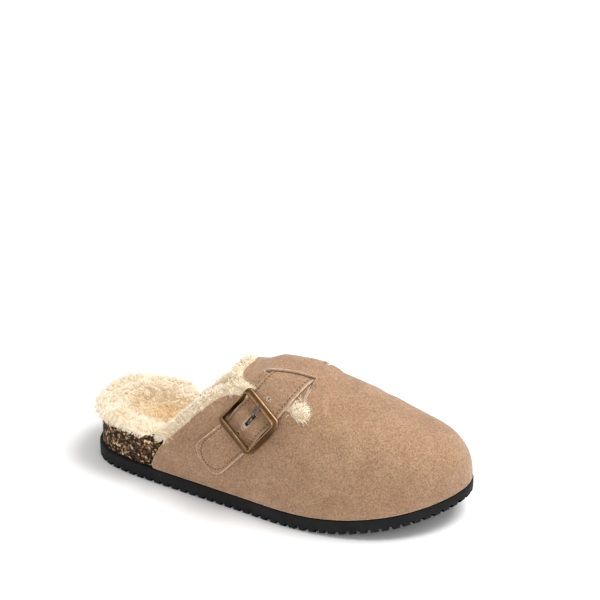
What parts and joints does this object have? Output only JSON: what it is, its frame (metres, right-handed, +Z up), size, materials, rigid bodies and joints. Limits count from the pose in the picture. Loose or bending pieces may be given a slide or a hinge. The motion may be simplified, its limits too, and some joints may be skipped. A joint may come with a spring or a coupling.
{
  "type": "buckled slipper",
  "caption": "Closed-toe, open-heel suede clog slipper for the right foot, with a cork and rubber sole, a plush fleece lining and footbed, and an instep strap in a bronze buckle.",
  "frame": {"origin": "on the floor under the middle of the shoe's bounding box", "axes": "+X from heel to toe, +Y towards the medial side (the big toe), -Y towards the lateral side with the buckle, +Z up"},
  "size_m": [0.262, 0.0994, 0.0931],
  "materials": {
    "rubber": "matt black moulded rubber",
    "cork": "dark pressed cork with light granules",
    "fleece": "cream curly plush pile",
    "suede": "taupe napped suede",
    "bronze": "antique bronze with worn bright edges",
    "prong": "dark satin steel"
  },
  "bodies": {
    "root": {"outsole": "rubber", "midsole": "cork", "insole_fleece": "fleece", "upper": "suede", "lining_fleece": "fleece", "instep_strap": "suede", "buckle_frame": "bronze", "buckle_prong": "prong"}
  },
  "joints": []
}
